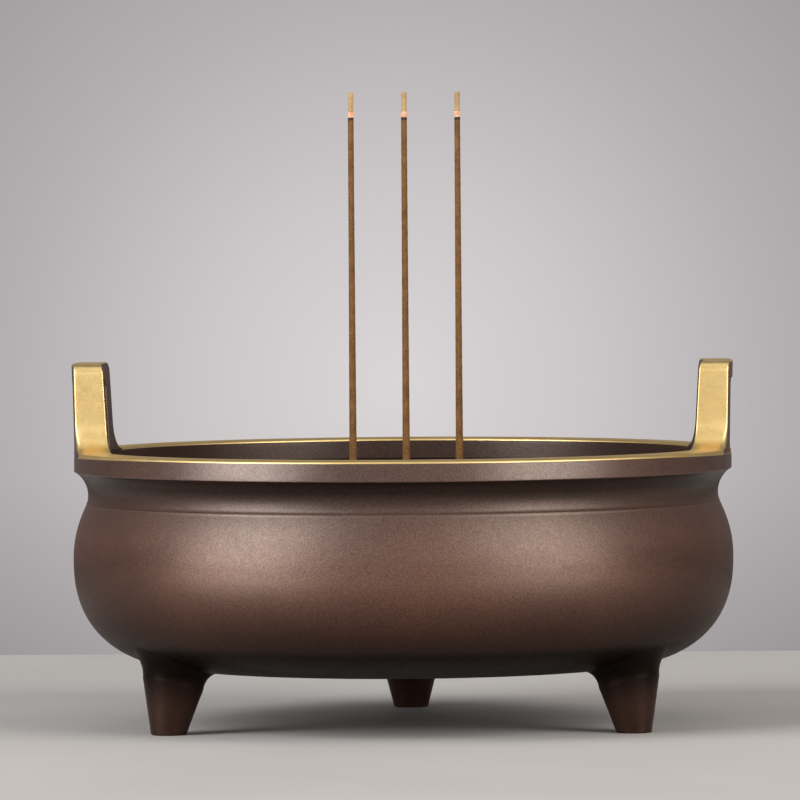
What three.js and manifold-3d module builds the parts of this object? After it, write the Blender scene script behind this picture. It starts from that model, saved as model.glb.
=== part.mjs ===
// Tripod incense burner: a round metal bowl on three feet, with two upright loop ears on its lip,
// a bed of ash inside it and three burning incense sticks planted in the ash.
// Millimetres, +Z up. The origin is on the bowl's axis, at the level the feet stand on.
// The ears stand on the X axis, the lone back foot on +Y.

import * as THREE from 'three';
import { mergeVertices } from 'three/addons/utils/BufferGeometryUtils.js';
import Module from 'manifold-3d';

const wasm = await Module();
wasm.setup();

// ---- driving dimensions -------------------------------------------------------------------

// bowl, outside
const BELLY_RADIUS = 66.0;          // widest radius of the belly
const NECK_DEPTH = 3.0;             // how far the neck is drawn in from the belly
const LIP_OVERHANG = 2.75;          // how far the rim band stands out from the neck
const UNDERSIDE_HEIGHT = 11.8;      // floor to the flat underside
const BELLY_LOWER_HEIGHT = 22.1;    // underside to the widest level
const BELLY_UPPER_HEIGHT = 10.85;   // widest level to the crease under the neck
const NECK_HEIGHT = 6.6;            // crease to the rim band
const BAND_HEIGHT = 4.05;           // height of the rim band
const BELLY_CORNER = 26.0;          // radial reach of the rounded corner from underside to side
const BELLY_FULLNESS = 2.42;        // superellipse exponent of that corner, 2 being an ellipse
const NECK_WAIST = 1.65;            // the neck's narrowest level above the crease
const BAND_EDGE = 0.2;              // rounding of the rim band's lower edge

// bowl, inside
const WALL = 4.0;                   // wall of the belly
const LIP_WIDTH = 6.25;             // radial width of the lip's flat top
const LIP_ROUND = 0.45;             // rounding of the lip's top edges

// ears
const EAR_HEIGHT = 17.3;            // above the lip
const EAR_WIDTH = 23.0;             // along the lip, above the root fillets
const EAR_POST = 4.1;               // width of each post
const EAR_BAR = 3.5;                // height of the top bar
const EAR_OUTER_LEAN = 0.35;        // how far the outer face leans out over its height
const EAR_INNER_LEAN = 0.95;        // the same for the inner face, so the ear thins upwards
const EAR_CORNER = 2.0;             // rounding of the top corners
const EAR_ROOT = 5.5;               // outer fillet where a post meets the lip
const EAR_INNER_ROOT = 1.6;         // the same inside the loop
const EAR_LOOP_CORNER = 1.5;        // rounding of the loop's top corners
const EAR_ROOT_EDGE = 4;            // degrees of a root fillet left off, so that it ends in a thin edge

// feet
const FOOT_INSET = 13.0;            // the belly's widest radius to the middle of a foot on the floor
const FOOT_TOE_RADIUS = 3.6;
const FOOT_TOE_ROUND = 0.4;
const FOOT_FLARE = 0.285;           // gain of radius for each unit of height
const FOOT_LEAN = 0.128;            // radial shift towards the bowl's axis for each unit of height
const FOOT_FILLET = 3.5;            // fillet under the belly
const FOOT_FILLET_EDGE = 15;        // degrees of that fillet left off, so that it ends in a thin edge
const FOOT_GAP = 0.3;               // clearance between the foot's top and the belly
const FOOT_ANGLES = { front_right: -30, back: 90, front_left: 210 };

// ash
const ASH_BELOW_LIP = 11.2;         // the lip's top to the ash at the wall
const ASH_MOUND = 1.0;              // how much higher the ash is in the middle
const ASH_GAP = 0.3;                // clearance between the ash and the bowl's wall

// incense
const STICK_SPACING = 10.65;
const STICK_ROW_SHIFT = 0.7;        // the row stands a little to +X of the bowl's axis
const STICK_PLANTED = 15.0;         // depth of a stick's lower end below the ash's highest level
const STICK_LENGTH = 90.8;          // unburnt length
const STICK_TOP_RADIUS = 0.565;
const STICK_BOTTOM_RADIUS = 0.86;
const STICK_TAPER_POWER = 1.6;      // above 1, most of the taper is in the lower half
const SOCKET_CLEARANCE = 0.3;       // between a stick and the hole it makes in the ash
const CHAR_HEIGHT = 0.55;
const EMBER_HEIGHT = 1.15;
const ASH_TIP_HEIGHT = 3.85;
const ASH_TIP_RADIUS = 0.56;
const BURNT_SWELL = 0.03;           // the char is a little fatter than the stick

// fineness of the faceted surfaces
const ROUND_SEGMENTS = 64;
const CORNER_STEPS = 10;
const SMALL_STEPS = 4;
const STICK_SEGMENTS = 14;
const FOOT_SEGMENTS = 26;
const FOOT_TOP_RINGS = 3;

// ---- levels and radii that follow ---------------------------------------------------------

const bellyLevel = UNDERSIDE_HEIGHT + BELLY_LOWER_HEIGHT;
const creaseLevel = bellyLevel + BELLY_UPPER_HEIGHT;
const bandLevel = creaseLevel + NECK_HEIGHT;
const lipLevel = bandLevel + BAND_HEIGHT;
const neckRadius = BELLY_RADIUS - NECK_DEPTH;
const lipRadius = neckRadius + LIP_OVERHANG;
const coveRise = NECK_HEIGHT - NECK_WAIST - BAND_EDGE;
const coveReach = LIP_OVERHANG - BAND_EDGE;
const coveRadius = (coveRise ** 2 + coveReach ** 2) / (2 * coveReach);
const coveStart = -Math.asin(NECK_WAIST / coveRadius);
const coveEnd = Math.atan2(coveRise, coveRadius - coveReach);
const creaseRadius = neckRadius + coveRadius * (1 - Math.cos(coveStart));
const mouthRadius = lipRadius - LIP_WIDTH;
const undersideRadius = BELLY_RADIUS - BELLY_CORNER;
const innerWidest = BELLY_RADIUS - WALL;
const footCircleRadius = BELLY_RADIUS - FOOT_INSET;
const ashLevel = lipLevel - ASH_BELOW_LIP;
const stickFootLevel = ashLevel + ASH_MOUND - STICK_PLANTED;
const stickTopLevel = stickFootLevel + STICK_LENGTH;

// ---- materials ----------------------------------------------------------------------------

const material = (color, roughness, metalness) =>
  new THREE.MeshStandardMaterial({ color, roughness, metalness });
const bronze = material(0x5a463d, 0.42, 0.85);
const ashGrey = material(0xb3ab9f, 0.95, 0.0);
const incenseBrown = material(0x9a6f42, 0.85, 0.0);
const charBlack = material(0x17120f, 0.95, 0.0);
const emberOrange = material(0xff7a2a, 0.6, 0.0);
const ashTan = material(0xb99a66, 0.95, 0.0);

// ---- helpers ------------------------------------------------------------------------------

const point = (x, y) => new THREE.Vector2(x, y);

/** Points of an arc about (cx, cy), from one angle to another in degrees, ends included. */
function arc(cx, cy, radius, fromDegrees, toDegrees, steps) {
  return Array.from({ length: steps + 1 }, (_, i) => {
    const angle = THREE.MathUtils.degToRad(fromDegrees + ((toDegrees - fromDegrees) * i) / steps);
    return point(cx + radius * Math.cos(angle), cy + radius * Math.sin(angle));
  });
}

/** A solid of revolution about +Z from (radius, height) points. */
function turned(profile, segments) {
  const geometry = new THREE.LatheGeometry(profile, segments);
  geometry.rotateX(Math.PI / 2);
  return geometry;
}

/** A closed geometry with only its positions, its shared vertices merged. */
function welded(geometry) {
  const plain = geometry.clone();
  plain.deleteAttribute('normal');
  plain.deleteAttribute('uv');
  return mergeVertices(plain, 1e-4);
}

function toSolid(geometry) {
  const plain = welded(geometry);
  return new wasm.Manifold(new wasm.Mesh({
    numProp: 3,
    vertProperties: new Float32Array(plain.attributes.position.array),
    triVerts: new Uint32Array(plain.index.array),
  }));
}

function toGeometry(solid) {
  const { vertProperties, triVerts } = solid.getMesh();
  const geometry = new THREE.BufferGeometry();
  geometry.setAttribute('position', new THREE.BufferAttribute(vertProperties, 3));
  geometry.setIndex(new THREE.BufferAttribute(triVerts, 1));
  geometry.computeVertexNormals();
  return geometry;
}

function piece(name, geometry, surface) {
  const mesh = new THREE.Mesh(geometry, surface);
  mesh.name = name;
  return mesh;
}

// ---- bowl ---------------------------------------------------------------------------------

/** Height of the rounded lower corner at a radius, for the outside or, inset by a wall, the inside. */
function lowerCornerHeight(radius, inset) {
  const reach = BELLY_CORNER - inset;
  const drop = BELLY_LOWER_HEIGHT - inset;
  const share = THREE.MathUtils.clamp((radius - undersideRadius) / reach, 0, 1);
  return bellyLevel - drop * (1 - share ** BELLY_FULLNESS) ** (1 / BELLY_FULLNESS);
}

/** The rounded corner from the flat bottom up to the widest level, evenly spaced by direction. */
function lowerCorner(inset, steps) {
  const reach = BELLY_CORNER - inset;
  const drop = BELLY_LOWER_HEIGHT - inset;
  return Array.from({ length: steps + 1 }, (_, i) => {
    const angle = (Math.PI / 2) * (i / steps);
    const outward = Math.sin(angle) ** (2 / BELLY_FULLNESS);
    const downward = Math.cos(angle) ** (2 / BELLY_FULLNESS);
    return point(undersideRadius + reach * outward, bellyLevel - drop * downward);
  });
}

/** The belly above its widest level: a shallow bow that closes in to a radius at the crease. */
function upperBelly(widest, top, steps) {
  return Array.from({ length: steps }, (_, i) => {
    const share = (i + 1) / steps;
    return point(widest - (widest - top) * share ** 2, bellyLevel + BELLY_UPPER_HEIGHT * share);
  });
}

/** The concave neck, an arc from just above the crease to the lower edge of the rim band. */
function neckCove(steps) {
  return Array.from({ length: steps }, (_, i) => {
    const angle = coveStart + ((coveEnd - coveStart) * (i + 1)) / steps;
    const offset = coveRadius * (1 - Math.cos(angle));
    return point(neckRadius + offset, creaseLevel + NECK_WAIST + coveRadius * Math.sin(angle));
  });
}

function bowlGeometry() {
  const outside = [
    point(0, UNDERSIDE_HEIGHT),
    ...lowerCorner(0, CORNER_STEPS),
    ...upperBelly(BELLY_RADIUS, creaseRadius, SMALL_STEPS + 1),
    ...neckCove(SMALL_STEPS + 3),
    point(lipRadius, bandLevel),
  ];
  const top = [
    ...arc(lipRadius - LIP_ROUND, lipLevel - LIP_ROUND, LIP_ROUND, 0, 90, SMALL_STEPS - 1),
    ...arc(mouthRadius + LIP_ROUND, lipLevel - LIP_ROUND, LIP_ROUND, 90, 180, SMALL_STEPS - 1),
  ];
  const inside = [
    point(mouthRadius, creaseLevel),
    ...upperBelly(innerWidest, mouthRadius, SMALL_STEPS).slice(0, -1).reverse(),
    ...lowerCorner(WALL, CORNER_STEPS - 2).reverse(),
    point(0, UNDERSIDE_HEIGHT + WALL),
  ];
  return turned([...outside, ...top, ...inside], ROUND_SEGMENTS);
}

// ---- ears ---------------------------------------------------------------------------------

/** The ear seen from the side: an arch on two posts, its roots filleted into the lip. */
function earOutline() {
  const half = EAR_WIDTH / 2;
  const loopHalf = half - EAR_POST;
  const loopTop = EAR_HEIGHT - EAR_BAR;
  const outerRoot = arc(half + EAR_ROOT, EAR_ROOT, EAR_ROOT, 270 - EAR_ROOT_EDGE, 180, SMALL_STEPS + 1);
  const topCorner = arc(half - EAR_CORNER, EAR_HEIGHT - EAR_CORNER, EAR_CORNER, 0, 90, SMALL_STEPS + 1);
  const loopCorner = arc(
    loopHalf - EAR_LOOP_CORNER, loopTop - EAR_LOOP_CORNER, EAR_LOOP_CORNER, 90, 0, SMALL_STEPS);
  const innerRoot = arc(
    loopHalf - EAR_INNER_ROOT, EAR_INNER_ROOT, EAR_INNER_ROOT, 0, EAR_ROOT_EDGE - 90, SMALL_STEPS);
  const outside = [point(outerRoot[0].x, 0), ...outerRoot, ...topCorner];
  const inside = [...loopCorner, ...innerRoot, point(innerRoot[innerRoot.length - 1].x, 0)];
  const mirrored = (points) => points.map((p) => point(-p.x, p.y)).reverse();
  return new THREE.Shape([...outside, ...mirrored(outside), ...mirrored(inside), ...inside]);
}

/** The ring that both ears are curved to: the lip's own width, thinning and leaning out upwards. */
function earRing() {
  const above = EAR_HEIGHT + 1;
  const lean = above / EAR_HEIGHT;
  const profile = [
    point(mouthRadius, lipLevel),
    point(lipRadius, lipLevel),
    point(lipRadius + EAR_OUTER_LEAN * lean, lipLevel + above),
    point(mouthRadius + EAR_INNER_LEAN * lean, lipLevel + above),
    point(mouthRadius, lipLevel),
  ];
  return turned(profile, ROUND_SEGMENTS);
}

function earGeometry(side) {
  const reach = lipRadius + 5;
  const slab = new THREE.ExtrudeGeometry(earOutline(), { depth: reach, bevelEnabled: false });
  slab.rotateX(Math.PI / 2);
  slab.rotateZ(Math.PI / 2);
  slab.translate(0, 0, lipLevel);
  const ear = toSolid(slab).intersect(toSolid(earRing()));
  const geometry = toGeometry(ear);
  if (side < 0) geometry.rotateZ(Math.PI);
  return geometry;
}

// ---- feet ---------------------------------------------------------------------------------

/** A foot before its top is fitted to the belly: a cone on a small toe, flaring out at the root. */
function footProfile(height) {
  const coneTop = height - FOOT_FILLET;
  const coneRadius = FOOT_TOE_RADIUS + FOOT_FLARE * coneTop;
  const fillet = arc(
    coneRadius + FOOT_FILLET, coneTop, FOOT_FILLET, 180, 90 + FOOT_FILLET_EDGE, SMALL_STEPS + 1);
  const rootRadius = fillet[fillet.length - 1].x;
  return [
    point(0, 0),
    point(FOOT_TOE_RADIUS - FOOT_TOE_ROUND, 0),
    point(FOOT_TOE_RADIUS + FOOT_FLARE * FOOT_TOE_ROUND, FOOT_TOE_ROUND),
    ...fillet,
    ...Array.from({ length: FOOT_TOP_RINGS + 1 }, (_, i) =>
      point(rootRadius * (1 - i / FOOT_TOP_RINGS), height)),
  ];
}

/** A foot at its place: leaned inwards, and stretched in height so its top follows the belly. */
function footGeometry(degrees) {
  const height = UNDERSIDE_HEIGHT;
  const geometry = turned(footProfile(height), FOOT_SEGMENTS);
  const position = geometry.attributes.position;
  for (let i = 0; i < position.count; i += 1) {
    const share = position.getZ(i) / height;
    const radial = footCircleRadius + position.getX(i) - FOOT_LEAN * position.getZ(i);
    const across = position.getY(i);
    const ceiling = lowerCornerHeight(Math.hypot(radial, across), 0) - FOOT_GAP;
    position.setXYZ(i, radial, across, share * ceiling);
  }
  geometry.rotateZ(THREE.MathUtils.degToRad(degrees));
  return geometry;
}

// ---- ash ----------------------------------------------------------------------------------

const stickPlaces = {
  left: STICK_ROW_SHIFT - STICK_SPACING,
  middle: STICK_ROW_SHIFT,
  right: STICK_ROW_SHIFT + STICK_SPACING,
};

/** The inner radius of the upper belly and neck at a height. */
function innerRadius(height) {
  const share = THREE.MathUtils.clamp((height - bellyLevel) / BELLY_UPPER_HEIGHT, 0, 1);
  return innerWidest - (innerWidest - mouthRadius) * share ** 2;
}

/** Ash that fills the bowl to its level, lying a little higher in the middle. */
function ashProfile() {
  const edgeRadius = innerRadius(ashLevel) - ASH_GAP;
  const wall = [
    ...lowerCorner(WALL, CORNER_STEPS - 2),
    ...upperBelly(innerWidest, mouthRadius, SMALL_STEPS),
  ].filter((p) => p.y < ashLevel - ASH_GAP).map((p) => point(p.x - ASH_GAP, p.y));
  const mound = Array.from({ length: SMALL_STEPS + 1 }, (_, i) => {
    const share = 1 - i / SMALL_STEPS;
    return point(edgeRadius * share, ashLevel + ASH_MOUND * (1 - share ** 2));
  });
  return [point(0, UNDERSIDE_HEIGHT + WALL), ...wall, ...mound];
}

function ashGeometry() {
  const socketRadius = STICK_BOTTOM_RADIUS + SOCKET_CLEARANCE;
  const socketHeight = STICK_PLANTED + 5;
  let ash = toSolid(turned(ashProfile(), ROUND_SEGMENTS));
  for (const x of Object.values(stickPlaces)) {
    const socket = new THREE.CylinderGeometry(socketRadius, socketRadius, socketHeight, STICK_SEGMENTS);
    socket.rotateX(Math.PI / 2);
    socket.translate(x, 0, stickFootLevel + socketHeight / 2);
    ash = ash.subtract(toSolid(socket));
  }
  return toGeometry(ash);
}

// ---- incense ------------------------------------------------------------------------------

const stickRadius = (share) =>
  STICK_TOP_RADIUS + (STICK_BOTTOM_RADIUS - STICK_TOP_RADIUS) * (1 - share) ** STICK_TAPER_POWER;

function stickGeometry() {
  const steps = 6;
  const side = Array.from({ length: steps + 1 }, (_, i) =>
    point(stickRadius(i / steps), stickFootLevel + (STICK_LENGTH * i) / steps));
  return turned([point(0, stickFootLevel), ...side, point(0, stickTopLevel)], STICK_SEGMENTS);
}

function charGeometry() {
  const radius = STICK_TOP_RADIUS + BURNT_SWELL;
  const profile = [
    point(0, stickTopLevel),
    point(radius, stickTopLevel),
    point(radius - BURNT_SWELL, stickTopLevel + CHAR_HEIGHT),
    point(0, stickTopLevel + CHAR_HEIGHT),
  ];
  return turned(profile, STICK_SEGMENTS);
}

function emberGeometry() {
  const base = stickTopLevel + CHAR_HEIGHT;
  const profile = [
    point(0, base),
    point(STICK_TOP_RADIUS, base),
    point(ASH_TIP_RADIUS - BURNT_SWELL, base + EMBER_HEIGHT / 2),
    point(ASH_TIP_RADIUS, base + EMBER_HEIGHT),
    point(0, base + EMBER_HEIGHT),
  ];
  return turned(profile, STICK_SEGMENTS);
}

/** The burnt ash still standing on the ember, with a rounded, slightly narrowed end. */
function ashTipGeometry() {
  const base = stickTopLevel + CHAR_HEIGHT + EMBER_HEIGHT;
  const round = ASH_TIP_RADIUS * 0.8;
  const end = base + ASH_TIP_HEIGHT;
  const profile = [
    point(0, base),
    point(ASH_TIP_RADIUS, base),
    point(ASH_TIP_RADIUS - BURNT_SWELL, base + ASH_TIP_HEIGHT / 2),
    ...arc(ASH_TIP_RADIUS - round, end - round, round, 0, 75, SMALL_STEPS - 1),
    point(0, end),
  ];
  return turned(profile, STICK_SEGMENTS);
}

function incenseStick(place, x) {
  const stick = new THREE.Group();
  stick.add(piece(`incense_${place}_stick`, stickGeometry(), incenseBrown));
  stick.add(piece(`incense_${place}_char`, charGeometry(), charBlack));
  stick.add(piece(`incense_${place}_ember`, emberGeometry(), emberOrange));
  stick.add(piece(`incense_${place}_ash_tip`, ashTipGeometry(), ashTan));
  stick.position.x = x;
  return stick;
}

// ---- assembly -----------------------------------------------------------------------------

const burner = new THREE.Group();
burner.add(piece('bowl', bowlGeometry(), bronze));
burner.add(piece('ear_right', earGeometry(1), bronze));
burner.add(piece('ear_left', earGeometry(-1), bronze));
for (const [place, degrees] of Object.entries(FOOT_ANGLES)) {
  burner.add(piece(`foot_${place}`, footGeometry(degrees), bronze));
}
burner.add(piece('ash_bed', ashGeometry(), ashGrey));
for (const [place, x] of Object.entries(stickPlaces)) {
  burner.add(incenseStick(place, x));
}

export default burner;
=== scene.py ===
import math

import bmesh
import bpy
from mathutils import Matrix, Vector, noise


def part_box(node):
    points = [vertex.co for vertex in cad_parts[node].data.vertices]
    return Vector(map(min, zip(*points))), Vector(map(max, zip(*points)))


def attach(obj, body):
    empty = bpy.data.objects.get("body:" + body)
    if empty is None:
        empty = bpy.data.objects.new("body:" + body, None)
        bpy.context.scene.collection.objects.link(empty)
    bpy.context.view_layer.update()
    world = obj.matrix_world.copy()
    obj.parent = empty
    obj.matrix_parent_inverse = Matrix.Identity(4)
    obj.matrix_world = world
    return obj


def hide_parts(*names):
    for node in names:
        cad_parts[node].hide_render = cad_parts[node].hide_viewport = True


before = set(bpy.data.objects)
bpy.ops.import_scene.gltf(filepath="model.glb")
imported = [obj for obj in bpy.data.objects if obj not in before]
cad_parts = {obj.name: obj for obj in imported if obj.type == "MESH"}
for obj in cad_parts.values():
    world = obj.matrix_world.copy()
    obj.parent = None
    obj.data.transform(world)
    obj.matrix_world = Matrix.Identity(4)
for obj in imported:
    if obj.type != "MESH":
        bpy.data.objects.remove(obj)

MM = 0.001
NUDGE = 1e-9

# camera
CAMERA_DISTANCE = 1.7
CAMERA_HEIGHT = 118 * MM
CAMERA_AZIMUTH = 1.5
CAMERA_ROLL = 0.4
CAMERA_LENS = 382.5
CAMERA_SENSOR = 36
CAMERA_SIDESTEP = -0.48 * MM
CAMERA_CLIP = (0.05, 30)
AIM_HEIGHT = 65 * MM

# studio: lamps as azimuth from the camera's side, distance, height, size, power and colour
SOFTBOXES = {
    "left_softbox": (-54, 1.7, 0.50, (1.05, 1.9), 51, (0.985, 0.985, 0.985)),
    "right_softbox": (51, 1.7, 0.50, (1.15, 1.9), 39, (1.0, 0.955, 0.91)),
    "front_fill": (0, 2.6, 0.55, (1.7, 1.5), 5.4, (1.0, 0.985, 0.97)),
    "top_softbox": (0, 0.35, 1.5, (1.3, 1.0), 3.6, (1.0, 0.985, 0.97)),
}
LAMP_AIM = (0, 0, 0.05)
FLOOR_SIZE = (0.84, 0.495)
FLOOR_SHIFT = -0.0125
FLOOR_CELLS = (8, 4)
AIR_CENTRE = (-0.027, 1, -0.029)
AIR_STOPS = (
    (0.0, (0.70, 0.67, 0.675)),
    (0.022, (0.605, 0.575, 0.58)),
    (0.045, (0.46, 0.435, 0.445)),
    (0.070, (0.35, 0.325, 0.335)),
    (0.150, (0.21, 0.20, 0.20)),
    (1.0, (0.17, 0.16, 0.16)),
)
HORIZON = (-0.16, -0.04)
HORIZON_STOPS = ((0.0, (0.2, 0.2, 0.2)), (0.79, (0.78, 0.78, 0.78)), (1.0, (1, 1, 1)))

# colours, listed from dark to light
UPPER_PATINA = ((0.044, 0.020, 0.014), (0.070, 0.032, 0.022))
LOWER_PATINA = ((0.066, 0.022, 0.013), (0.096, 0.034, 0.020))
PATINA_FLECKS = ((0.55, 0.53, 0.50), (1.55, 1.50, 1.45))
LOW_SHEEN, HIGH_SHEEN = (1.0, 0.83, 0.72), (1.0, 0.93, 0.87)
MEAN_SHEEN = (1.0, 0.87, 0.78, 1)
GOLD = ((0.79, 0.57, 0.235), (0.88, 0.67, 0.31))
GOLD_STREAKS = ((0.90, 0.88, 0.84), (1.05, 1.05, 1.06))
ASH_POWDER = ((0.36, 0.335, 0.31), (0.60, 0.575, 0.54))
ASH_TIP = ((0.27, 0.165, 0.074), (0.50, 0.345, 0.185))
ASH_GRAINS = ((0.66, 0.65, 0.64), (1.2, 1.2, 1.2))
INCENSE = ((0.095, 0.043, 0.012), (0.168, 0.083, 0.027))
INCENSE_SPECKS = ((0.45, 0.38, 0.32), (1.0, 1.0, 1.0), (1.55, 1.5, 1.4))
CHAR = ((0.008, 0.007, 0.006), (0.060, 0.042, 0.028))
COAL = ((0.30, 0.05, 0.03), (0.50, 0.26, 0.15))
GLOW = ((0.80, 0.16, 0.08), (1.0, 0.36, 0.17), (1.0, 0.60, 0.34), (1.0, 0.82, 0.60))
GLOW_STRENGTH = 0.48
FLOOR = ((0.52, 0.504, 0.487), (0.57, 0.553, 0.535))

# gloss: the least and greatest roughness, and the specular level of the plain materials
PATINA_ROUGH = (0.38, 0.48)
BAND_POLISH = 0.09
GOLD_ROUGH = (0.40, 0.48)
ASH_ROUGH = (0.88, 1.0)
INCENSE_ROUGH = (0.78, 0.95)
CHAR_ROUGH = (0.8, 0.98)
EMBER_ROUGH = (0.8, 0.95)
FLOOR_ROUGH = (0.6, 0.7)
# PATINA_SPECULAR: the patina's specular level in its fullest painted shade and where it has none
PATINA_SPECULAR = (0.03, 0.5)
GRAIN_SPECULAR = (0.85, 1.2)
PATINA_METALLIC = 0.25
PATINA_IOR = 1.85
ASH_SPECULAR = 0.2
INCENSE_SPECULAR = 0.25
CHAR_SPECULAR = 0.3
FLOOR_SPECULAR = 0.3

# painted shade on the patina, as its share of full colour and gloss, and how far each change of
# it reaches
UNDERSIDE_SHADE = (0.05, 0.45)
BELLY_MARGIN = 2 * MM
COVE_SHADE = ((0.0, (1, 1, 1)), (0.1, (0.8, 0.8, 0.8)), (1.0, (0.2, 0.2, 0.2)))
COVE_REACH = 4.2 * MM
COVE_END = (0.35 * MM, 0.05 * MM)
INSIDE_SHADE = 0.28
INSIDE_REACH = (0.5 * MM, 1 * MM)
SIDE_SHADE = 0.4
SIDE_FROM = 0.6
SIDE_REACH = (8 * MM, 5 * MM)
FOOT_SHADE = (0.28, 0.03)
FOOT_SHADE_FROM = 5 * MM
REDDER_BELOW = 12 * MM

# bowl
BELLY_REACH = 26.0 * MM
LOWER_DROP = 22.1 * MM
UPPER_RISE = 10.85 * MM
UPPER_SHARE = 0.985
FULLNESS = 2.42
NECK_HEIGHT = 6.6 * MM
NECK_WAIST = 1.65 * MM
NECK_DEPTH = 3.0 * MM
LIP_OVERHANG = 2.75 * MM
BAND_EDGE = 0.2 * MM
LIP_WIDTH = 6.25 * MM
LIP_ROUND = 0.45 * MM
LIP_DOME = 0.30 * MM
DOME_POWER = 2.4
GOLD_DIP = 0.65 * MM
DIP_POWER = 6
DIP_REACH = 0.05 * MM
GOLD_ROUND_SHARE = 0.85
WALL = 4.0 * MM
CREASE_LEDGE = 0.11 * MM
CREASE_LEDGE_OUT = 0.15
CREASE_LEDGE_DOWN = 0.4

# ears
EAR_HEIGHT = 17.3 * MM
EAR_HALF = 11.5 * MM
EAR_POST = 4.1 * MM
EAR_BAR = 3.5 * MM
EAR_CORNER = 2.0 * MM
EAR_ROOT = 5.5 * MM
EAR_INNER_ROOT = 1.6 * MM
EAR_LOOP_CORNER = 1.5 * MM
EAR_OUTER_LEAN = 0.35 * MM
EAR_INNER_LEAN = 0.95 * MM
EAR_EDGE = 0.30 * MM
EAR_SUNK = 0.9 * MM
EAR_SUNK_INSET = 0.02 * MM
EAR_ROOT_EDGE = 1.5 * MM

# feet
FOOT_CIRCLE = 53.0 * MM
FOOT_TOE = 3.6 * MM
FOOT_TOE_ROUND = 0.4 * MM
FOOT_FLARE = 0.285
FOOT_LEAN = 0.128
FOOT_FILLET = 3.5 * MM
FOOT_BITE = 0.35 * MM
FOOT_ANGLES = {"foot_front_right": -30, "foot_back": 90, "foot_front_left": 210}

# ash: the bed, and its surface as noise of a frequency, an offset and a depth
ASH_MOUND = 1.0 * MM
ASH_MOUND_SHARE = 0.8
ASH_MARGIN = 0.2 * MM
ASH_BITE = 0.15 * MM
ASH_FLOOR_BITE = 0.05 * MM
ASH_SOFT = (70, 3.1, 0.45 * MM)
ASH_LUMPS = (330, 7.7, 0.22 * MM)
ASH_GRAIN = (1500, 1.3, 0.07 * MM)
ASH_RIM_DROP = 0.35 * MM
ASH_RIM_FROM = 0.9
COLLAR_HEIGHT = 0.45 * MM
COLLAR_REACH = 2.2 * MM
HOLE_CLEARANCE = 0.1 * MM
HOLE_BELOW = 0.3 * MM
WELD = 0.02 * MM

# incense
STICK_POWER = 1.6
STICK_WOBBLE = 0.05
SKIN_FREQUENCY = (1400, 1400, 900)
RAGGED_FREQUENCY = 1.7
ROD_EASE = 0.06 * MM
ZONE_OVERLAP = 0.03 * MM
ZONE_STEP = 0.1 * MM
ZONE_TAPER = 0.05
ZONES = (("char", 0.10, 3, 0.0), ("ember", 0.10, 5, 0.0), ("ash_tip", 0.16, 9, 0.35 * MM))
SEED_STEP = 11

# how finely the shapes are divided
ROUND_STEPS = 288
LIP_STEPS = 12
LIP_TOP_STEPS = 16
BAND_STEPS = 6
CORNER_STEPS = 72
UPPER_STEPS = 26
LEDGE_STEPS = 8
COVE_STEPS = 26
COVE_STEPS_SKIPPED = 3
UNDERSIDE_STEPS = 16
INNER_NECK_STEPS = 8
INNER_UPPER_STEPS = 20
INNER_CORNER_STEPS = 30
INNER_FLOOR_STEPS = 8
EAR_CORNER_STEPS = 5
EAR_SIDE_STEPS = 6
FOOT_STEPS = 72
ASH_WALL_STEPS = 24
ASH_TOP_STEPS = 110
HOLE_STEPS = 32
STICK_STEPS = 28
STICK_RINGS = 260
ZONE_STEPS = 32
ZONE_LEAST_RINGS = 6

# levels and radii of the bowl
bowl_low, bowl_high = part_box("bowl")
belly_radius = bowl_high.x
underside = bowl_low.z
lip = bowl_high.z
belly_level = underside + LOWER_DROP
crease = belly_level + UPPER_RISE
band = crease + NECK_HEIGHT
underside_radius = belly_radius - BELLY_REACH
neck_radius = belly_radius - NECK_DEPTH
lip_radius = neck_radius + LIP_OVERHANG
mouth_radius = lip_radius - LIP_WIDTH
cove_run = LIP_OVERHANG - BAND_EDGE
cove_rise = band - BAND_EDGE - crease - NECK_WAIST
cove_radius = (cove_run ** 2 + cove_rise ** 2) / (2 * cove_run)


def aim(obj, target):
    """Turns a camera or lamp at obj's place towards the target."""
    obj.rotation_euler = (target - obj.location).to_track_quat("-Z", "Y").to_euler()


def link(obj):
    bpy.context.scene.collection.objects.link(obj)
    return obj


def make_camera():
    turn = math.radians(CAMERA_AZIMUTH)
    side = Vector((math.cos(turn), math.sin(turn), 0)) * CAMERA_SIDESTEP
    data = bpy.data.cameras.new("camera")
    data.lens = CAMERA_LENS
    data.sensor_width = CAMERA_SENSOR
    data.clip_start, data.clip_end = CAMERA_CLIP
    camera = link(bpy.data.objects.new("camera", data))
    place = Vector((math.sin(turn), -math.cos(turn), 0)) * CAMERA_DISTANCE
    camera.location = place + side + Vector((0, 0, CAMERA_HEIGHT))
    look = Vector((0, 0, AIM_HEIGHT)) + side - camera.location
    turned = look.to_track_quat("-Z", "Y").to_matrix().to_4x4()
    rolled = turned @ Matrix.Rotation(math.radians(-CAMERA_ROLL), 4, "Z")
    camera.rotation_euler = rolled.to_euler()
    bpy.context.scene.camera = camera


make_camera()
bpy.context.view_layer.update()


# ---------------------------------------------------------------- materials

def fill_ramp(ramp, stops):
    while len(ramp.elements) < len(stops):
        ramp.elements.new(0.5)
    for element, (place, colour) in zip(ramp.elements, stops):
        element.position = place
        element.color = (*colour, 1)


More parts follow.
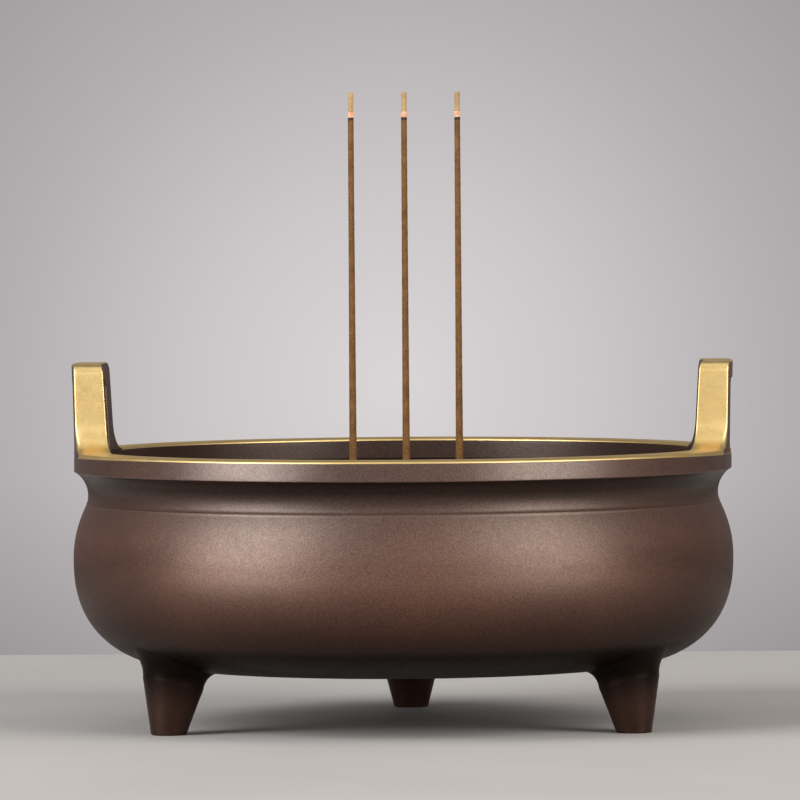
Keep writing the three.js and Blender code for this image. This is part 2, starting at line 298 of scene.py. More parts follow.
class Graph:
    """A short way to write a material's nodes."""

    def __init__(self, name):
        self.material = bpy.data.materials.new(name)
        self.material.use_nodes = True
        self.tree = self.material.node_tree
        self.shader = self.tree.nodes["Principled BSDF"]
        self.coords = self.add("ShaderNodeTexCoord").outputs["Object"]

    def add(self, kind, **settings):
        node = self.tree.nodes.new(kind)
        for key, value in settings.items():
            setattr(node, key, value)
        return node

    def wire(self, source, target):
        self.tree.links.new(source, target)

    def set(self, **values):
        for key, value in values.items():
            self.shader.inputs[key.replace("_", " ")].default_value = value

    def stretched(self, scale):
        node = self.add("ShaderNodeMapping")
        node.inputs["Scale"].default_value = scale
        self.wire(self.coords, node.inputs["Vector"])
        return node.outputs["Vector"]

    def noise(self, scale, detail=2.0, rough=0.5, coords=None, distortion=0.0):
        node = self.add("ShaderNodeTexNoise")
        node.inputs["Scale"].default_value = scale
        node.inputs["Detail"].default_value = detail
        node.inputs["Roughness"].default_value = rough
        node.inputs["Distortion"].default_value = distortion
        self.wire(coords or self.coords, node.inputs["Vector"])
        return node.outputs["Fac"]

    def ramp(self, value, *stops):
        node = self.add("ShaderNodeValToRGB")
        fill_ramp(node.color_ramp, stops)
        self.wire(value, node.inputs["Fac"])
        return node.outputs["Color"]

    def tones(self, value, places, colours):
        return self.ramp(value, *zip(places, colours))

    def span(self, value, low, high, to_low, to_high):
        node = self.add("ShaderNodeMapRange")
        node.inputs["From Min"].default_value = low
        node.inputs["From Max"].default_value = high
        node.inputs["To Min"].default_value = to_low
        node.inputs["To Max"].default_value = to_high
        self.wire(value, node.inputs["Value"])
        return node.outputs["Result"]

    def mix(self, share, first, second, blend="MIX"):
        node = self.add("ShaderNodeMix", data_type="RGBA", blend_type=blend)
        if isinstance(share, float):
            node.inputs["Factor"].default_value = share
        else:
            self.wire(share, node.inputs["Factor"])
        self.wire(first, node.inputs["A"])
        self.wire(second, node.inputs["B"])
        return node.outputs["Result"]

    def tinted(self, share, tone, tint):
        """The tone with a share of the tint multiplied into it."""
        return self.mix(share, tone, self.mix(1.0, tone, tint, "MULTIPLY"))

    def axis(self, name):
        node = self.add("ShaderNodeSeparateXYZ")
        self.wire(self.coords, node.inputs["Vector"])
        return node.outputs[name]

    def from_centre(self):
        """Distance from the vertical axis."""
        node = self.add("ShaderNodeVectorMath", operation="LENGTH")
        self.wire(self.stretched((1, 1, 0)), node.inputs[0])
        return node.outputs["Value"]

    def roughness(self, scale, limits, detail=2.0, rough=0.5, ends=(0.2, 0.8)):
        """Noise between two roughnesses."""
        return self.span(self.noise(scale, detail, rough), *ends, *limits)

    def math(self, operation, first, second):
        node = self.add("ShaderNodeMath", operation=operation)
        self.wire(first, node.inputs[0])
        self.wire(second, node.inputs[1])
        return node.outputs["Value"]

    def bump(self, height, depth, strength=1.0, under=None):
        node = self.add("ShaderNodeBump")
        node.inputs["Distance"].default_value = depth
        node.inputs["Strength"].default_value = strength
        self.wire(height, node.inputs["Height"])
        if under is not None:
            self.wire(under, node.inputs["Normal"])
        return node.outputs["Normal"]

    def finish(self, colour, rough, normal):
        for source, name in ((colour, "Base Color"), (rough, "Roughness"), (normal, "Normal")):
            self.wire(source, self.shader.inputs[name])
        return self.material


def painted_patina_shade(g, height):
    """Painted shade on the patina, as its share of full colour and gloss: low under the belly,
    towards its left and right sides, in the upper part of the neck's cove and on the inside,
    and middling on the feet."""
    belly = (height, underside + BELLY_MARGIN, belly_level - BELLY_MARGIN)
    dark, soft = UNDERSIDE_SHADE
    # painted shade under the belly, darkest at the underside
    low_belly = g.math("MULTIPLY", g.span(*belly, dark, 1), g.span(*belly, soft, 1))
    # painted shade in the upper part of the neck's cove, under the band's overhang
    into = g.ramp(g.span(height, crease, crease + COVE_REACH, 0, 1), *COVE_SHADE)
    out = g.span(height, band - COVE_END[0], band - COVE_END[1], 0, 1)
    # painted shade on the inside, up to just past the mouth's radius
    mouth = (mouth_radius - INSIDE_REACH[0], mouth_radius + INSIDE_REACH[1])
    inside = g.span(g.from_centre(), *mouth, INSIDE_SHADE, 1)
    # painted shade on the lower belly towards its left and right sides
    across = g.axis("X")
    left = g.span(across, -belly_radius, -SIDE_FROM * belly_radius, SIDE_SHADE, 1)
    right = g.span(across, SIDE_FROM * belly_radius, belly_radius, 1, SIDE_SHADE)
    sides = g.math("MULTIPLY", left, right)
    above = g.span(height, belly_level - SIDE_REACH[0], belly_level + SIDE_REACH[1], 0, 1)
    low_belly = g.math("MULTIPLY", low_belly, g.math("MAXIMUM", sides, above))
    bowl = g.math("MULTIPLY", low_belly, g.math("MAXIMUM", into, out))
    bowl = g.math("MULTIPLY", bowl, inside)
    # painted shade on the feet, darkest towards their tops where they meet the underside
    return g.math("MAXIMUM", bowl, g.span(height, FOOT_SHADE_FROM, underside, *FOOT_SHADE))


def patina():
    """Satin brown patina with a fine metallic grain. It is redder low down, and painted shade
    makes it duller and nearly black underneath, in the neck's hollow and on the inside."""
    g = Graph("bronze_patina")
    cloud = g.noise(38, 5, 0.6)
    upper = g.tones(cloud, (0.30, 0.70), UPPER_PATINA)
    lower = g.tones(cloud, (0.30, 0.70), LOWER_PATINA)
    height = g.axis("Z")
    tone = g.mix(g.span(height, underside + REDDER_BELOW, crease, 0, 1), lower, upper)
    grain = g.noise(3400, 2, 0.6)
    tone = g.tinted(0.6, tone, g.tones(grain, (0.36, 0.66), PATINA_FLECKS))
    # painted shade: it darkens the colour and dulls the specular level below
    shade = painted_patina_shade(g, height)
    tone = g.mix(1.0, tone, g.tones(shade, (0, 1), ((0, 0, 0), (1, 1, 1))), "MULTIPLY")
    level = g.span(shade, 0, 1, *PATINA_SPECULAR)
    level = g.math("MULTIPLY", level, g.span(grain, 0.36, 0.66, *GRAIN_SPECULAR))
    g.wire(level, g.shader.inputs["Specular IOR Level"])
    sheen = g.tones(g.span(height, belly_level, band, 0, 1), (0, 1), (LOW_SHEEN, HIGH_SHEEN))
    g.set(Specular_Tint=MEAN_SHEEN, Metallic=PATINA_METALLIC, IOR=PATINA_IOR)
    g.wire(sheen, g.shader.inputs["Specular Tint"])
    rough = g.roughness(900, PATINA_ROUGH, 3, 0.6, (0.25, 0.75))
    rough = g.math("ADD", rough, g.span(height, crease, band, 0, -BAND_POLISH))
    normal = g.bump(g.noise(2600, 3, 0.7), 0.045 * MM, 0.65)
    normal = g.bump(g.noise(160, 3, 0.5), 0.10 * MM, 0.10, normal)
    return g.finish(tone, rough, normal)


def gold(name, streaks):
    """Polished yellow metal; streaks(g) gives the brushing's height."""
    g = Graph(name)
    tone = g.tones(g.noise(120, 4, 0.6), (0.30, 0.70), GOLD)
    height = streaks(g)
    tone = g.tinted(0.6, tone, g.tones(height, (0.3, 0.7), GOLD_STREAKS))
    g.set(Metallic=1.0)
    rough = g.roughness(700, GOLD_ROUGH, 3, 0.6, (0.25, 0.75))
    return g.finish(tone, rough, g.bump(height, 0.012 * MM, 0.5))


def turned_streaks(g):
    """Fine rings left by turning, round the vertical axis."""
    joined = g.add("ShaderNodeCombineXYZ")
    g.wire(g.from_centre(), joined.inputs["X"])
    return g.noise(4200, 3, 0.6, joined.outputs["Vector"])


def level_streaks(g):
    """Fine brush marks along the lip's width."""
    return g.noise(260, 3, 0.65, g.stretched((1, 9, 16)))


def ash_material(name, colours, depth):
    """Pale burnt powder or flakes, with grains as deep as depth."""
    g = Graph(name)
    tone = g.tones(g.noise(220, 6, 0.65), (0.28, 0.72), colours)
    tone = g.tinted(0.75, tone, g.tones(g.noise(4800, 3, 0.7), (0.3, 0.7), ASH_GRAINS))
    g.set(Specular_IOR_Level=ASH_SPECULAR)
    rough = g.roughness(1500, ASH_ROUGH)
    return g.finish(tone, rough, g.bump(g.noise(2600, 4, 0.75), depth, 0.8))


def incense_material():
    """Pressed wood powder: tan, with darker and lighter specks."""
    g = Graph("incense_powder")
    tone = g.tones(g.noise(420, 4, 0.7), (0.30, 0.70), INCENSE)
    specks = g.tones(g.noise(3300, 3, 0.75), (0.33, 0.50, 0.70), INCENSE_SPECKS)
    tone = g.tinted(0.8, tone, specks)
    g.set(Specular_IOR_Level=INCENSE_SPECULAR)
    rough = g.roughness(2200, INCENSE_ROUGH)
    return g.finish(tone, rough, g.bump(g.noise(3000, 3, 0.8), 0.08 * MM, 0.8))


def char_material():
    """Burnt edge: black, with brown flecks."""
    g = Graph("incense_char")
    tone = g.tones(g.noise(2600, 4, 0.7), (0.35, 0.68), CHAR)
    g.set(Specular_IOR_Level=CHAR_SPECULAR)
    rough = g.roughness(1800, CHAR_ROUGH)
    return g.finish(tone, rough, g.bump(g.noise(3500, 3, 0.8), 0.08 * MM, 0.9))


def ember_material():
    """Glowing coal: pale hot patches, orange between them, red in the cracks."""
    g = Graph("incense_ember")
    heat = g.noise(1500, 4, 0.7, distortion=0.4)
    glow = g.tones(heat, (0.30, 0.42, 0.54, 0.68), GLOW)
    g.wire(glow, g.shader.inputs["Emission Color"])
    g.set(Emission_Strength=GLOW_STRENGTH)
    coal = g.tones(heat, (0.30, 0.70), COAL)
    rough = g.roughness(1500, EMBER_ROUGH)
    return g.finish(coal, rough, g.bump(g.noise(2600, 3, 0.8), 0.06 * MM, 0.8))


def floor_material():
    g = Graph("pale_floor")
    tone = g.tones(g.noise(9, 4, 0.5), (0.3, 0.7), FLOOR)
    g.set(Specular_IOR_Level=FLOOR_SPECULAR)
    rough = g.roughness(30, FLOOR_ROUGH)
    return g.finish(tone, rough, g.bump(g.noise(500, 3, 0.6), 0.05 * MM, 0.3))


# ---------------------------------------------------------------- meshes

def mesh_object(name, points, faces, materials, zones):
    """A smooth piece with its normals outwards. zones holds each face's material."""
    mesh = bpy.data.meshes.new(name)
    mesh.from_pydata(points, [], faces)
    for material in materials:
        mesh.materials.append(material)
    mesh.polygons.foreach_set("material_index", zones)
    mesh.polygons.foreach_set("use_smooth", [True] * len(mesh.polygons))
    work = bmesh.new()
    work.from_mesh(mesh)
    bmesh.ops.recalc_face_normals(work, faces=work.faces)
    work.to_mesh(mesh)
    work.free()
    mesh.update()
    return link(bpy.data.objects.new(name, mesh))


def as_it_is(x, y, z):
    return (x, y, z)


def lathe(name, rings, steps, materials, shape=as_it_is, zones=None):
    """Turns (radius, height) rings round the vertical axis. The first and last lie on the axis.
    shape moves a finished point; zones holds the material of each strip between two rings."""
    points, faces, marks = [shape(0, 0, rings[0][1])], [], []
    inner = rings[1:-1]
    for radius, height in inner:
        for k in range(steps):
            a = math.tau * k / steps
            points.append(shape(radius * math.cos(a), radius * math.sin(a), height))
    points.append(shape(0, 0, rings[-1][1]))
    end = len(points) - 1
    top = len(inner) - 1
    zones = zones or [0] * (len(rings) - 1)

    def at(ring, k):
        return 1 + ring * steps + k % steps

    for k in range(steps):
        faces.append((0, at(0, k + 1), at(0, k)))
        for ring in range(top):
            faces.append((at(ring, k), at(ring, k + 1), at(ring + 1, k + 1), at(ring + 1, k)))
        faces.append((at(top, k), at(top, k + 1), end))
        marks += zones
    return mesh_object(name, points, faces, materials, marks)


def arc(x, y, radius, start, stop, steps):
    """Points on a circle from start to stop degrees, both ends included."""
    return [
        (x + radius * math.cos(a), y + radius * math.sin(a))
        for a in (math.radians(start + (stop - start) * i / steps) for i in range(steps + 1))
    ]


def straight(start, stop, steps):
    """Points from start to stop, without the ends."""
    return [
        tuple(a + (b - a) * i / steps for a, b in zip(start, stop)) for i in range(1, steps)
    ]


def settle(obj, body, slot, *nodes):
    """Puts a piece in place of its CAD nodes."""
    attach(obj, body)
    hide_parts(*nodes)


# ---------------------------------------------------------------- bowl

def lower_corner(inset, steps):
    """The belly's rounded corner, from the underside to its widest level."""
    reach, drop = BELLY_REACH - inset, LOWER_DROP - inset
    power = 2 / FULLNESS
    turns = (math.pi / 2 * i / steps for i in range(steps + 1))
    return [
        (
            underside_radius + reach * math.sin(t) ** power,
            belly_level - drop * math.cos(t) ** power,
        )
        for t in turns
    ]


def lower_corner_height(radius):
    share = (radius - underside_radius) / BELLY_REACH
    if share <= 0:
        return underside
    return belly_level - LOWER_DROP * (1 - share ** FULLNESS) ** (1 / FULLNESS)


def upper_belly(widest, top, steps, stop=1.0):
    shares = (stop * i / steps for i in range(steps + 1))
    return [(widest - (widest - top) * s * s, belly_level + UPPER_RISE * s) for s in shares]


def cove_point(turn):
    return (
        neck_radius + cove_radius * (1 - math.cos(turn)),
        crease + NECK_WAIST + cove_radius * math.sin(turn),
    )


def neck_cove():
    """The neck's hollow, without its lowest points, which the crease's ledge takes up."""
    low = -math.asin(NECK_WAIST / cove_radius)
    high = math.atan2(cove_rise, cove_radius - cove_run)
    places = range(COVE_STEPS_SKIPPED, COVE_STEPS + 1)
    return [cove_point(low + (high - low) * i / COVE_STEPS) for i in places]


def crease_line(radius):
    """A fine rounded ledge where the belly ends, which stands out a little from the neck."""
    out, down = CREASE_LEDGE_OUT * CREASE_LEDGE, CREASE_LEDGE_DOWN * CREASE_LEDGE
    return arc(radius + out, crease - down, CREASE_LEDGE, 0, 85, LEDGE_STEPS)


def level_rings(height, steps):
    """A flat disc's rings, from the axis out to where the belly's corner starts."""
    return [(underside_radius * i / steps, height) for i in range(steps)]


def inner_wall():
    top, bottom = (mouth_radius, lip - LIP_ROUND), (mouth_radius, crease)
    neck = straight(top, bottom, INNER_NECK_STEPS)
    belly = list(reversed(upper_belly(belly_radius - WALL, mouth_radius, INNER_UPPER_STEPS)))
    corner = list(reversed(lower_corner(WALL, INNER_CORNER_STEPS)))[1:]
    flat = list(reversed(level_rings(underside + WALL, INNER_FLOOR_STEPS)))
    return neck + belly + corner + flat


def bowl_profile():
    """Rings of the outside from the underside's centre, of the lip and of the inside."""
    crease_radius = cove_point(-math.asin(NECK_WAIST / cove_radius))[0]
    base = level_rings(underside, UNDERSIDE_STEPS)
    upper = upper_belly(belly_radius, crease_radius, UPPER_STEPS, UPPER_SHARE)[1:]
    side = lower_corner(0, CORNER_STEPS) + upper + crease_line(crease_radius) + neck_cove()
    edge = arc(lip_radius - BAND_EDGE, band, BAND_EDGE, -60, 0, 5)
    wall = straight(edge[-1], (lip_radius, lip - LIP_ROUND), BAND_STEPS)
    outer, inner = lip_radius - LIP_ROUND, mouth_radius + LIP_ROUND
    rounding = arc(outer, lip - LIP_ROUND, LIP_ROUND, 0, 90, LIP_STEPS)
    across = straight((outer, lip), (inner, lip), LIP_TOP_STEPS)
    turn_in = arc(inner, lip - LIP_ROUND, LIP_ROUND, 90, 180, LIP_STEPS)
    return base + side + edge + wall + rounding, across + turn_in, inner_wall()


def lip_drop(across):
    """How far the lip's dome falls at a share across it, from -1 to 1."""
    return LIP_DOME * abs(across) ** DOME_POWER


def finish_lip(x, y, z):
    """Domes the lip a little, and lowers the gold's outer border towards the ears."""
    radius = math.hypot(x, y)
    middle, half = (lip_radius + mouth_radius) / 2, LIP_WIDTH / 2
    if z > lip - LIP_ROUND - NUDGE and radius > mouth_radius - NUDGE:
        z -= lip_drop(min(abs(radius - middle) / half, 1))
    if band < z < lip - LIP_DOME and radius > lip_radius - DIP_REACH:
        share = (z - band) / (lip - LIP_DOME - LIP_ROUND - band)
        z -= GOLD_DIP * (abs(x) / radius) ** DIP_POWER * min(share, 1) ** 2
    return (x, y, z)


def make_bowl(metals):
    outside, across, inside = bowl_profile()
    rings = outside + across + inside
    turned_up = len(outside) - 1 - round(LIP_STEPS * GOLD_ROUND_SHARE)
    turned_in = len(outside) + len(across) - 1 - round(LIP_STEPS * (1 - GOLD_ROUND_SHARE))
    zones = [1 if turned_up <= i < turned_in else 0 for i in range(len(rings) - 1)]
    bowl = lathe("bowl_casting", rings, ROUND_STEPS, metals, finish_lip, zones)
    settle(bowl, "burner", "bronze", "bowl")


# ---------------------------------------------------------------- ears

def ear_paths():
    """The arch's outer line and its loop's line, point for point, from root to crown (y, z)."""
    loop, loop_top = EAR_HALF - EAR_POST, EAR_HEIGHT - EAR_BAR
    root = arc(EAR_HALF + EAR_ROOT, EAR_ROOT, EAR_ROOT, 266, 180, 14)
    inner_root = arc(loop - EAR_INNER_ROOT, EAR_INNER_ROOT, EAR_INNER_ROOT, -86, 0, 14)
    corner = arc(EAR_HALF - EAR_CORNER, EAR_HEIGHT - EAR_CORNER, EAR_CORNER, 0, 90, 12)
    inner_corner = arc(
        loop - EAR_LOOP_CORNER, loop_top - EAR_LOOP_CORNER, EAR_LOOP_CORNER, 0, 90, 12
    )

    def whole(start, bend, top):
        half = [(start[0][0], -EAR_SUNK), *start] + straight(start[-1], bend[0], 12) + bend
        half += straight(bend[-1], (0, top), 10) + [(0, top)]
        return half + [(-y, z) for y, z in reversed(half[:-1])]

    return whole(root, corner, EAR_HEIGHT), whole(inner_root, inner_corner, loop_top)


def ear_section(thick, outer_edge):
    """A rectangle with rounded corners in (u, v): u from the arch's outside to its loop,
    v from the ring's outside to its inside. The ring's outer corner on the arch's outside is
    rounded by outer_edge."""
    corners = (
        (1, 1, 90, 0, EAR_EDGE),
        (1, 0, 0, -90, EAR_EDGE),
        (0, 0, -90, -180, outer_edge),
        (0, 1, 180, 90, EAR_EDGE),
    )
    steps = EAR_CORNER_STEPS
    groups = []
    for u, v, start, stop, edge in corners:
        a, b = edge / thick, edge / LIP_WIDTH
        middle = (a if u == 0 else 1 - a, b if v == 0 else 1 - b)
        turns = (math.radians(start + (stop - start) * i / steps) for i in range(steps + 1))
        groups.append([(middle[0] + a * math.cos(t), middle[1] + b * math.sin(t)) for t in turns])
    points = []
    for here, there in zip(groups, groups[1:] + groups[:1]):
        points += here + straight(here[-1], there[0], EAR_SIDE_STEPS)
    return points


def near_root(z):
    """1 at the lip, falling to 0 at the top of the root's fillet."""
    return max(0, 1 - max(z, 0) / EAR_ROOT) ** 2


def ear_point(y, z, v):
    share = max(z, 0) / EAR_HEIGHT
    outer = lip_radius + EAR_OUTER_LEAN * share
    if z < 0:
        outer -= EAR_SUNK_INSET
    inner = mouth_radius + EAR_INNER_LEAN * share
    radius = outer + (inner - outer) * v
    drop = near_root(z) * lip_drop(2 * v - 1)
    return (math.sqrt(radius ** 2 - y ** 2), y, lip + z - drop)


def make_ear(name, side, metals):
    """A loop ear on the lip. Its gold runs over the arch's outside and both of its edges."""
    outer, inner = ear_paths()
    points, faces, zones = [], [], []
    for (yo, zo), (yi, zi) in zip(outer, inner):
        outer_edge = EAR_EDGE + (EAR_ROOT_EDGE - EAR_EDGE) * near_root(zo)
        section = ear_section(math.dist((yo, zo), (yi, zi)), outer_edge)
        for u, v in section:
            x, y, z = ear_point(yo + (yi - yo) * u, zo + (zi - zo) * u, v)
            points.append((side * x, side * y, z))
    count = len(section)
    per_side = EAR_CORNER_STEPS + EAR_SIDE_STEPS
    gold_from, gold_to = 2 * per_side, 3 * per_side + EAR_CORNER_STEPS
    for i in range(len(outer) - 1):
        for k in range(count):
            m = (k + 1) % count
            faces.append((i * count + k, i * count + m, (i + 1) * count + m, (i + 1) * count + k))
            zones.append(1 if gold_from <= k < gold_to else 0)
    last = (len(outer) - 1) * count
    faces += [tuple(range(count)), tuple(last + k for k in reversed(range(count)))]
    zones += [0, 0]
    ear = mesh_object(name + "_casting", points, faces, metals, zones)
    settle(ear, "burner", "bronze", name)


# ---------------------------------------------------------------- feet

def foot_profile():
    cone_top = underside - FOOT_FILLET
    cone_radius = FOOT_TOE + FOOT_FLARE * cone_top
    toe = arc(FOOT_TOE - FOOT_TOE_ROUND, FOOT_TOE_ROUND, FOOT_TOE_ROUND, -90, 0, 7)
    fillet = arc(cone_radius + FOOT_FILLET, cone_top, FOOT_FILLET, 180, 92, 24)
    flat = [((FOOT_TOE - FOOT_TOE_ROUND) * i / 5, 0) for i in range(5)]
    root = fillet[-1]
    cap = [(root[0] * (1 - i / 6), root[1]) for i in range(1, 7)]
    return flat + toe + straight(toe[-1], fillet[0], 24) + fillet + cap


def make_foot(name, degrees, metals):
    """A leaning cone whose top follows the belly's underside and bites into it."""
    turn = math.radians(degrees)
    height = foot_profile()[-1][1]

    def bend(x, y, z):
        radial = FOOT_CIRCLE + x - FOOT_LEAN * z
        ceiling = lower_corner_height(min(math.hypot(radial, y), belly_radius)) + FOOT_BITE
        return (
            radial * math.cos(turn) - y * math.sin(turn),
            radial * math.sin(turn) + y * math.cos(turn),
            z / height * ceiling,
        )

    foot = lathe(name + "_casting", foot_profile(), FOOT_STEPS, metals, bend)
    settle(foot, "burner", "bronze", name)


# ---------------------------------------------------------------- ash

def inner_radius(height):
    """The bowl's inside radius at a height above its floor."""
    if height >= belly_level:
        s = (height - belly_level) / UPPER_RISE
        widest = belly_radius - WALL
        return widest - (widest - mouth_radius) * s * s
    share = (belly_level - height) / (LOWER_DROP - WALL)
    reach = BELLY_REACH - WALL
    return underside_radius + reach * (1 - share ** FULLNESS) ** (1 / FULLNESS)


def stick_places():
    """Each stick's place in the row and its axis (x, y)."""
    places = {}
    for place in ("left", "middle", "right"):
        low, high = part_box(f"incense_{place}_stick")
        places[place] = ((low.x + high.x) / 2, (low.y + high.y) / 2)
    return places


def uneven(x, y, frequency, offset, depth):
    return noise.noise(Vector((x * frequency, y * frequency, offset))) * depth


def ash_height(x, y, level, edge, axes):
    """Powder surface: a low mound, soft ridges, grains, and a raised collar at each stick."""
    away = math.hypot(x, y) / edge
    mound = ASH_MOUND * (1 - away * away) * ASH_MOUND_SHARE
    skin = uneven(x, y, *ASH_SOFT) + uneven(x, y, *ASH_LUMPS) + uneven(x, y, *ASH_GRAIN)
    rim = -ASH_RIM_DROP * max(0, (away - ASH_RIM_FROM) / (1 - ASH_RIM_FROM)) ** 2
    collar = 0
    for px, py in axes:
        d = math.hypot(x - px, y - py) / COLLAR_REACH
        collar += COLLAR_HEIGHT * math.exp(-d * d)
    return level + mound + skin + rim + collar


def make_ash(material):
    low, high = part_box("ash_bed")
    level = high.z - ASH_MOUND - ASH_MARGIN
    edge = inner_radius(level) + ASH_BITE
    floor_level = low.z - ASH_FLOOR_BITE
    depth = level - floor_level
    sides = [floor_level + depth * i / ASH_WALL_STEPS for i in range(ASH_WALL_STEPS + 1)]
    wall = [(inner_radius(max(z, underside + WALL)) + ASH_BITE, z) for z in sides]
    top = [(edge * (1 - i / ASH_TOP_STEPS), level) for i in range(1, ASH_TOP_STEPS + 1)]
    places = stick_places()
    axes = list(places.values())

    def settle_powder(x, y, z):
        if z < level - NUDGE:
            return (x, y, z)
        return (x, y, ash_height(x, y, level, edge, axes))

    rings = [(0, floor_level)] + wall + top
    ash = lathe("ash_powder", rings, ROUND_STEPS, [material], settle_powder)
    for place, axis in places.items():
        drill(ash, place, axis)
    weld(ash.data)
    settle(ash, "burner", "ash", "ash_bed")


def drill(ash, place, axis):
    """Cuts the hole that a stick stands in."""
    low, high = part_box(f"incense_{place}_stick")
    radius = (high.x - low.x) / 2 + HOLE_CLEARANCE
    foot = low.z - HOLE_BELOW
    rings = [(0, foot), (radius, foot), (radius, high.z), (0, high.z)]
    bit = lathe("bit_" + place, rings, HOLE_STEPS, [])
    bit.location = (*axis, 0)
    cut = ash.modifiers.new("hole", "BOOLEAN")
    cut.object = bit
    cut.operation = "DIFFERENCE"
    cut.solver = "EXACT"
    bpy.context.view_layer.update()
    drilled = bpy.data.meshes.new_from_object(
        ash.evaluated_get(bpy.context.evaluated_depsgraph_get())
    )
    ash.modifiers.clear()
    whole, bit_mesh = ash.data, bit.data
    ash.data = drilled
    bpy.data.objects.remove(bit)
    bpy.data.meshes.remove(bit_mesh)
    bpy.data.meshes.remove(whole)


def weld(mesh):
    """Joins points that the cuts left closer together than WELD."""
    work = bmesh.new()
    work.from_mesh(mesh)
    bmesh.ops.remove_doubles(work, verts=work.verts, dist=WELD)
    bmesh.ops.dissolve_degenerate(work, edges=work.edges, dist=WELD)
    work.to_mesh(mesh)
    work.free()


# ---------------------------------------------------------------- incense

def rough_rod(name, axis, rings, steps, material, wobble, seed, ragged=0.0):
    """An upright rod of (radius, height) rings with an uneven skin and a ragged top."""
    top = max(height for _, height in rings)
    along_x, along_y, along_z = SKIN_FREQUENCY

    def shape(x, y, z):
        spot = Vector((x * along_x + seed, y * along_y, z * along_z))
        grow = 1 + wobble * noise.noise(spot)
        at_top = z >= top - NUDGE
        drop = ragged * abs(noise.noise(spot * RAGGED_FREQUENCY)) if at_top else 0
        return (axis[0] + x * grow, axis[1] + y * grow, z - drop)

    return lathe(name, rings, steps, [material], shape)


def capped(low, high, radii, steps):
    """Rings of a rod from low to high, closed by a small rounding at both ends."""
    bottom, top = radii(0), radii(1)
    rings = [(0, low), (bottom * 0.5, low), (bottom - ROD_EASE, low)]
    for i in range(steps + 1):
        rings.append((radii(i / steps), low + ROD_EASE + (high - low - 2 * ROD_EASE) * i / steps))
    return rings + [(top - ROD_EASE, high), (top * 0.5, high), (0, high)]


def make_stick(place, axis, looks, seed):
    """A stick with its char, ember and ash tip, all on the stick's own body."""
    body = "incense_" + place
    low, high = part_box(f"{body}_stick")
    char_low, char_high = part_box(f"{body}_char")
    bottom, top = (high.x - low.x) / 2, (char_high.x - char_low.x) / 2

    def radii(share):
        return top + (bottom - top) * (1 - share) ** STICK_POWER

    rings = capped(low.z, high.z, radii, STICK_RINGS)
    name, material = f"rod_{place}", looks["incense"]
    rod = rough_rod(name, axis, rings, STICK_STEPS, material, STICK_WOBBLE, seed)
    settle(rod, body, "incense", f"{body}_stick")
    for zone, wobble, offset, ragged in ZONES:
        burnt_zone(place, zone, axis, looks[zone], wobble, seed + offset, ragged)


def burnt_zone(place, zone, axis, material, wobble, seed, ragged):
    node = f"incense_{place}_{zone}"
    low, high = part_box(node)
    radius = (high.x - low.x) / 2
    steps = max(ZONE_LEAST_RINGS, round((high.z - low.z) / ZONE_STEP))

    def radii(share):
        return radius * (1 - ZONE_TAPER * wobble * share)

    rings = capped(low.z - ZONE_OVERLAP, high.z, radii, steps)
    name = f"{zone}_{place}"
    piece = rough_rod(name, axis, rings, ZONE_STEPS, material, wobble, seed, ragged)
    settle(piece, "incense_" + place, zone, node)


# ---------------------------------------------------------------- studio

def make_floor():
    work = bmesh.new()
    columns, rows = FLOOR_CELLS
    bmesh.ops.create_grid(work, x_segments=columns, y_segments=rows, size=0.5)
    mesh = bpy.data.meshes.new("floor")
    work.to_mesh(mesh)
    work.free()
    mesh.transform(Matrix.Diagonal((*FLOOR_SIZE, 1, 1)))
    mesh.transform(Matrix.Translation((0, FLOOR_SHIFT, 0)))
    mesh.materials.append(floor_material())
    link(bpy.data.objects.new("floor", mesh))


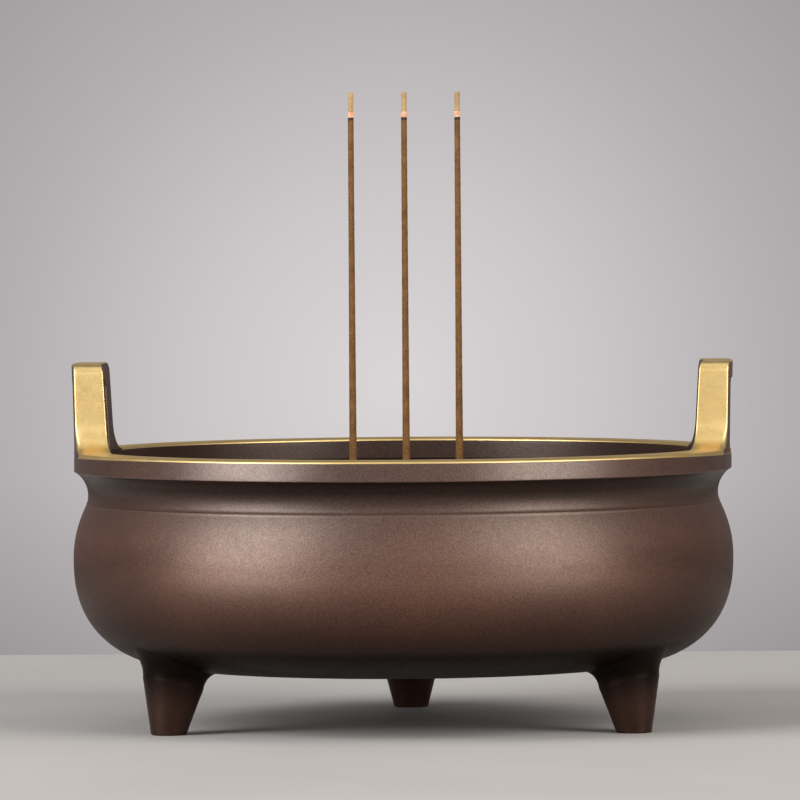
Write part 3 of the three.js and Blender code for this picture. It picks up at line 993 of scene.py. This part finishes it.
def make_world():
    """Grey studio air, with a soft pale patch on the side behind the object, and darker
    below the horizon."""
    world = bpy.data.worlds.new("studio")
    world.use_nodes = True
    bpy.context.scene.world = world
    nodes, links = world.node_tree.nodes, world.node_tree.links
    coords = nodes.new("ShaderNodeTexCoord").outputs["Generated"]
    away = nodes.new("ShaderNodeVectorMath")
    away.operation = "DISTANCE"
    away.inputs[1].default_value = Vector(AIR_CENTRE).normalized()
    links.new(coords, away.inputs[0])
    air = nodes.new("ShaderNodeValToRGB")
    fill_ramp(air.color_ramp, AIR_STOPS)
    links.new(away.outputs["Value"], air.inputs["Fac"])
    level = nodes.new("ShaderNodeSeparateXYZ")
    links.new(coords, level.inputs["Vector"])
    rise = nodes.new("ShaderNodeMapRange")
    rise.inputs["From Min"].default_value, rise.inputs["From Max"].default_value = HORIZON
    links.new(level.outputs["Z"], rise.inputs["Value"])
    strength = nodes.new("ShaderNodeValToRGB")
    fill_ramp(strength.color_ramp, HORIZON_STOPS)
    links.new(rise.outputs["Result"], strength.inputs["Fac"])
    links.new(strength.outputs["Color"], nodes["Background"].inputs["Strength"])
    links.new(air.outputs["Color"], nodes["Background"].inputs["Color"])


def softbox(name, azimuth, distance, height, size, power, colour):
    """A lamp at an azimuth from the camera's side, negative to the left."""
    data = bpy.data.lights.new(name, "AREA")
    data.shape = "RECTANGLE"
    data.size, data.size_y = size
    data.energy = power
    data.color = colour
    lamp = link(bpy.data.objects.new(name, data))
    turn = math.radians(azimuth)
    lamp.location = (distance * math.sin(turn), -distance * math.cos(turn), height)
    lamp.visible_camera = False
    aim(lamp, Vector(LAMP_AIM))


def make_everything():
    bpy.context.scene.view_settings.view_transform = "Standard"
    make_world()
    for name, settings in SOFTBOXES.items():
        softbox(name, *settings)
    make_floor()
    brown = patina()
    make_bowl([brown, gold("gold_turned", turned_streaks)])
    brushed = [brown, gold("gold_brushed", level_streaks)]
    make_ear("ear_right", 1, brushed)
    make_ear("ear_left", -1, brushed)
    for name, degrees in FOOT_ANGLES.items():
        make_foot(name, degrees, [brown])
    make_ash(ash_material("ash_powder", ASH_POWDER, 0.10 * MM))
    looks = {
        "incense": incense_material(),
        "char": char_material(),
        "ember": ember_material(),
        "ash_tip": ash_material("ash_tip", ASH_TIP, 0.08 * MM),
    }
    for number, (place, axis) in enumerate(stick_places().items()):
        make_stick(place, axis, looks, SEED_STEP * number)


make_everything()
